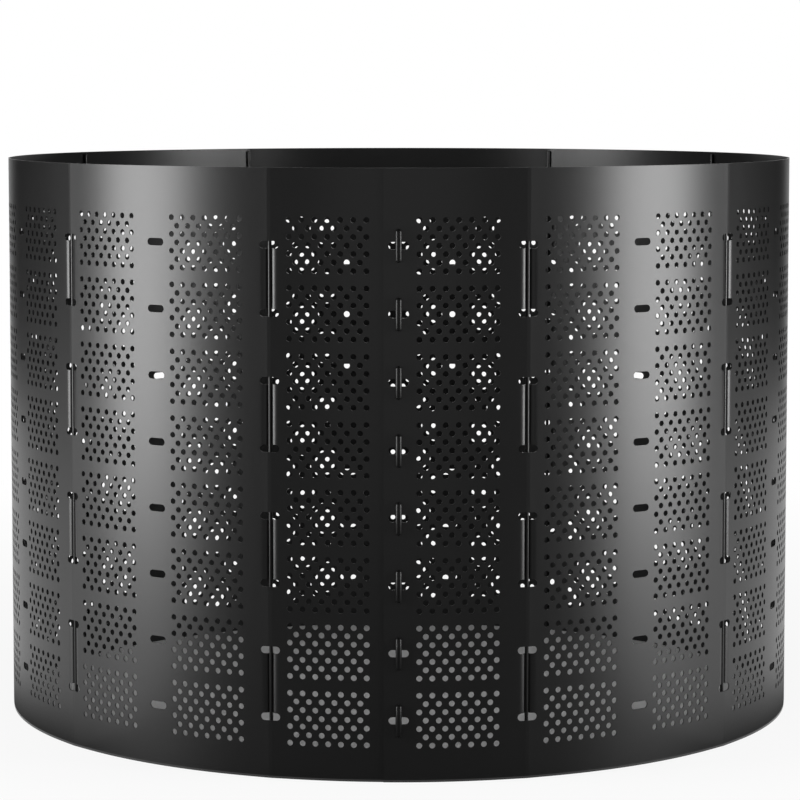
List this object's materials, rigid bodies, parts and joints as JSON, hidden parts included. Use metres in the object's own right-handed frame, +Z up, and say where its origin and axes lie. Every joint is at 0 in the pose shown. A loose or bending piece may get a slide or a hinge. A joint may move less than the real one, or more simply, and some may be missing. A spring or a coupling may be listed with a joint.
{
  "type": "compost bin",
  "caption": "Round open-bottomed compost bin: a perforated plastic sheet rolled into a ring, lapped, closed with twist keys and stiffened by rods laced through its slots.",
  "frame": {"origin": "on the ground, on the ring's axis", "axes": "+Z up along the ring's axis; the closure and its keys face -Y; +X to the right of somebody who faces the closure"},
  "size_m": [1.1514, 1.1578, 0.808],
  "materials": {
    "sheet": "extruded black polyethylene sheet, satin",
    "rod": "extruded black plastic rod, smooth",
    "key": "injection moulded black polypropylene, semi-gloss"
  },
  "bodies": {
    "ring": {"perforated_sheet": "sheet", "support_rod_01": "rod", "support_rod_02": "rod", "support_rod_03": "rod", "support_rod_04": "rod", "support_rod_05": "rod", "support_rod_06": "rod", "support_rod_07": "rod", "support_rod_08": "rod", "support_rod_09": "rod", "support_rod_10": "rod"},
    "key_1": {"twist_key_1": "key"},
    "key_2": {"twist_key_2": "key"},
    "key_3": {"twist_key_3": "key"},
    "key_4": {"twist_key_4": "key"},
    "key_5": {"twist_key_5": "key"},
    "key_6": {"twist_key_6": "key"},
    "key_7": {"twist_key_7": "key"},
    "key_8": {"twist_key_8": "key"}
  },
  "joints": [
    {"name": "key_1_turn", "type": "hinge", "parent": "ring", "child": "key_1", "pos_m": [0, -0.5769, 0.707], "axis": [0, -1, 0], "range_deg": [0, 90]},
    {"name": "key_2_turn", "type": "hinge", "parent": "ring", "child": "key_2", "pos_m": [0, -0.5769, 0.6177], "axis": [0, -1, 0], "range_deg": [0, 90]},
    {"name": "key_3_turn", "type": "hinge", "parent": "ring", "child": "key_3", "pos_m": [0, -0.5769, 0.5284], "axis": [0, -1, 0], "range_deg": [0, 90]},
    {"name": "key_4_turn", "type": "hinge", "parent": "ring", "child": "key_4", "pos_m": [0, -0.5769, 0.4391], "axis": [0, -1, 0], "range_deg": [0, 90]},
    {"name": "key_5_turn", "type": "hinge", "parent": "ring", "child": "key_5", "pos_m": [0, -0.5769, 0.3499], "axis": [0, -1, 0], "range_deg": [0, 90]},
    {"name": "key_6_turn", "type": "hinge", "parent": "ring", "child": "key_6", "pos_m": [0, -0.5769, 0.2606], "axis": [0, -1, 0], "range_deg": [0, 90]},
    {"name": "key_7_turn", "type": "hinge", "parent": "ring", "child": "key_7", "pos_m": [0, -0.5769, 0.1713], "axis": [0, -1, 0], "range_deg": [0, 90]},
    {"name": "key_8_turn", "type": "hinge", "parent": "ring", "child": "key_8", "pos_m": [0, -0.5769, 0.082], "axis": [0, -1, 0], "range_deg": [0, 90]}
  ]
}
